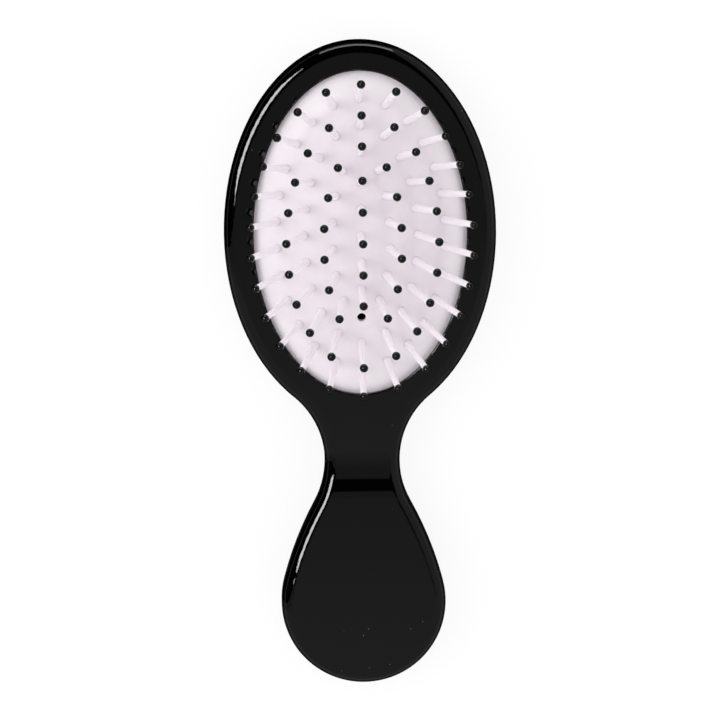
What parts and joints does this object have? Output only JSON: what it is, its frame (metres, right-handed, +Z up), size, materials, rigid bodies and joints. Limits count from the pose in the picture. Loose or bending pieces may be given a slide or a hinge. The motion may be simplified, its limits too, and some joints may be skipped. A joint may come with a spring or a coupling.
{
  "type": "hair brush",
  "caption": "Small oval air-cushion hair brush: glossy shell with a waisted drop-shaped handle, and ball-tipped pins on a domed rubber cushion that gives when pressed.",
  "frame": {"origin": "middle of the bounding box on the flat back, which lies on the table", "axes": "+Z up, the way the pins point; +Y from the handle to the top of the head; +X to the right as seen in the picture"},
  "size_m": [0.053, 0.1266, 0.0283],
  "materials": {
    "shell_black": "gloss",
    "ring_grey": "matt",
    "cushion_white": "satin",
    "pin_white": "translucent satin",
    "tip_black": "gloss"
  },
  "bodies": {
    "shell": {"front_shell": "shell_black", "back_shell": "shell_black", "clamp_ring": "ring_grey", "cushion": "cushion_white"},
    "middle_group_1": {"middle_pins_1": "pin_white", "middle_tips_1": "tip_black"},
    "outer_group_1": {"outer_pins_1": "pin_white", "outer_tips_1": "tip_black"},
    "outer_group_2": {"outer_pins_2": "pin_white", "outer_tips_2": "tip_black"},
    "outer_group_3": {"outer_pins_3": "pin_white", "outer_tips_3": "tip_black"},
    "outer_group_4": {"outer_pins_4": "pin_white", "outer_tips_4": "tip_black"},
    "outer_group_5": {"outer_pins_5": "pin_white", "outer_tips_5": "tip_black"},
    "outer_group_6": {"outer_pins_6": "pin_white", "outer_tips_6": "tip_black"},
    "outer_group_7": {"outer_pins_7": "pin_white", "outer_tips_7": "tip_black"},
    "second_group_1": {"second_pins_1": "pin_white", "second_tips_1": "tip_black"},
    "second_group_2": {"second_pins_2": "pin_white", "second_tips_2": "tip_black"},
    "second_group_3": {"second_pins_3": "pin_white", "second_tips_3": "tip_black"},
    "second_group_4": {"second_pins_4": "pin_white", "second_tips_4": "tip_black"},
    "second_group_5": {"second_pins_5": "pin_white", "second_tips_5": "tip_black"},
    "second_group_6": {"second_pins_6": "pin_white", "second_tips_6": "tip_black"},
    "third_group_1": {"third_pins_1": "pin_white", "third_tips_1": "tip_black"},
    "third_group_2": {"third_pins_2": "pin_white", "third_tips_2": "tip_black"},
    "third_group_3": {"third_pins_3": "pin_white", "third_tips_3": "tip_black"},
    "third_group_4": {"third_pins_4": "pin_white", "third_tips_4": "tip_black"},
    "middle_group_2": {"middle_pins_2": "pin_white", "middle_tips_2": "tip_black"},
    "middle_group_3": {"middle_pins_3": "pin_white", "middle_tips_3": "tip_black"}
  },
  "joints": [
    {"name": "middle_press_1", "type": "slide", "parent": "shell", "child": "middle_group_1", "axis": [0, 0, -1], "range_m": [0, 0.0036], "stiffness_N_per_m": 40, "deforming": ["cushion"]},
    {"name": "outer_press_1", "type": "slide", "parent": "shell", "child": "outer_group_1", "axis": [0, 0, -1], "range_m": [0, 0.00114], "stiffness_N_per_m": 80},
    {"name": "outer_press_2", "type": "slide", "parent": "shell", "child": "outer_group_2", "axis": [0, 0, -1], "range_m": [0, 0.00116], "stiffness_N_per_m": 160},
    {"name": "outer_press_3", "type": "slide", "parent": "shell", "child": "outer_group_3", "axis": [0, 0, -1], "range_m": [0, 0.00121], "stiffness_N_per_m": 160},
    {"name": "outer_press_4", "type": "slide", "parent": "shell", "child": "outer_group_4", "axis": [0, 0, -1], "range_m": [0, 0.00127], "stiffness_N_per_m": 160},
    {"name": "outer_press_5", "type": "slide", "parent": "shell", "child": "outer_group_5", "axis": [0, 0, -1], "range_m": [0, 0.00133], "stiffness_N_per_m": 160},
    {"name": "outer_press_6", "type": "slide", "parent": "shell", "child": "outer_group_6", "axis": [0, 0, -1], "range_m": [0, 0.00136], "stiffness_N_per_m": 160},
    {"name": "outer_press_7", "type": "slide", "parent": "shell", "child": "outer_group_7", "axis": [0, 0, -1], "range_m": [0, 0.00138], "stiffness_N_per_m": 160},
    {"name": "second_press_1", "type": "slide", "parent": "shell", "child": "second_group_1", "axis": [0, 0, -1], "range_m": [0, 0.002], "stiffness_N_per_m": 80},
    {"name": "second_press_2", "type": "slide", "parent": "shell", "child": "second_group_2", "axis": [0, 0, -1], "range_m": [0, 0.00212], "stiffness_N_per_m": 160},
    {"name": "second_press_3", "type": "slide", "parent": "shell", "child": "second_group_3", "axis": [0, 0, -1], "range_m": [0, 0.00231], "stiffness_N_per_m": 160},
    {"name": "second_press_4", "type": "slide", "parent": "shell", "child": "second_group_4", "axis": [0, 0, -1], "range_m": [0, 0.00247], "stiffness_N_per_m": 160},
    {"name": "second_press_5", "type": "slide", "parent": "shell", "child": "second_group_5", "axis": [0, 0, -1], "range_m": [0, 0.00258], "stiffness_N_per_m": 160},
    {"name": "second_press_6", "type": "slide", "parent": "shell", "child": "second_group_6", "axis": [0, 0, -1], "range_m": [0, 0.00262], "stiffness_N_per_m": 80},
    {"name": "third_press_1", "type": "slide", "parent": "shell", "child": "third_group_1", "axis": [0, 0, -1], "range_m": [0, 0.00269], "stiffness_N_per_m": 40},
    {"name": "third_press_2", "type": "slide", "parent": "shell", "child": "third_group_2", "axis": [0, 0, -1], "range_m": [0, 0.00295], "stiffness_N_per_m": 160},
    {"name": "third_press_3", "type": "slide", "parent": "shell", "child": "third_group_3", "axis": [0, 0, -1], "range_m": [0, 0.00321], "stiffness_N_per_m": 160},
    {"name": "third_press_4", "type": "slide", "parent": "shell", "child": "third_group_4", "axis": [0, 0, -1], "range_m": [0, 0.00334], "stiffness_N_per_m": 160},
    {"name": "middle_press_2", "type": "slide", "parent": "shell", "child": "middle_group_2", "axis": [0, 0, -1], "range_m": [0, 0.00352], "stiffness_N_per_m": 80},
    {"name": "middle_press_3", "type": "slide", "parent": "shell", "child": "middle_group_3", "axis": [0, 0, -1], "range_m": [0, 0.00323], "stiffness_N_per_m": 80}
  ],
  "couplings": [
    {"joint": "outer_press_1", "follows": "middle_press_1", "ratio": 0.3108},
    {"joint": "outer_press_2", "follows": "middle_press_1", "ratio": 0.3172},
    {"joint": "outer_press_3", "follows": "middle_press_1", "ratio": 0.332},
    {"joint": "outer_press_4", "follows": "middle_press_1", "ratio": 0.3484},
    {"joint": "outer_press_5", "follows": "middle_press_1", "ratio": 0.3628},
    {"joint": "outer_press_6", "follows": "middle_press_1", "ratio": 0.3731},
    {"joint": "outer_press_7", "follows": "middle_press_1", "ratio": 0.3784},
    {"joint": "second_press_1", "follows": "middle_press_1", "ratio": 0.5515},
    {"joint": "second_press_2", "follows": "middle_press_1", "ratio": 0.582},
    {"joint": "second_press_3", "follows": "middle_press_1", "ratio": 0.6355},
    {"joint": "second_press_4", "follows": "middle_press_1", "ratio": 0.6814},
    {"joint": "second_press_5", "follows": "middle_press_1", "ratio": 0.711},
    {"joint": "second_press_6", "follows": "middle_press_1", "ratio": 0.721},
    {"joint": "third_press_1", "follows": "middle_press_1", "ratio": 0.7407},
    {"joint": "third_press_2", "follows": "middle_press_1", "ratio": 0.8128},
    {"joint": "third_press_3", "follows": "middle_press_1", "ratio": 0.8852},
    {"joint": "third_press_4", "follows": "middle_press_1", "ratio": 0.9232},
    {"joint": "middle_press_2", "follows": "middle_press_1", "ratio": 0.9726},
    {"joint": "middle_press_3", "follows": "middle_press_1", "ratio": 0.8904}
  ]
}
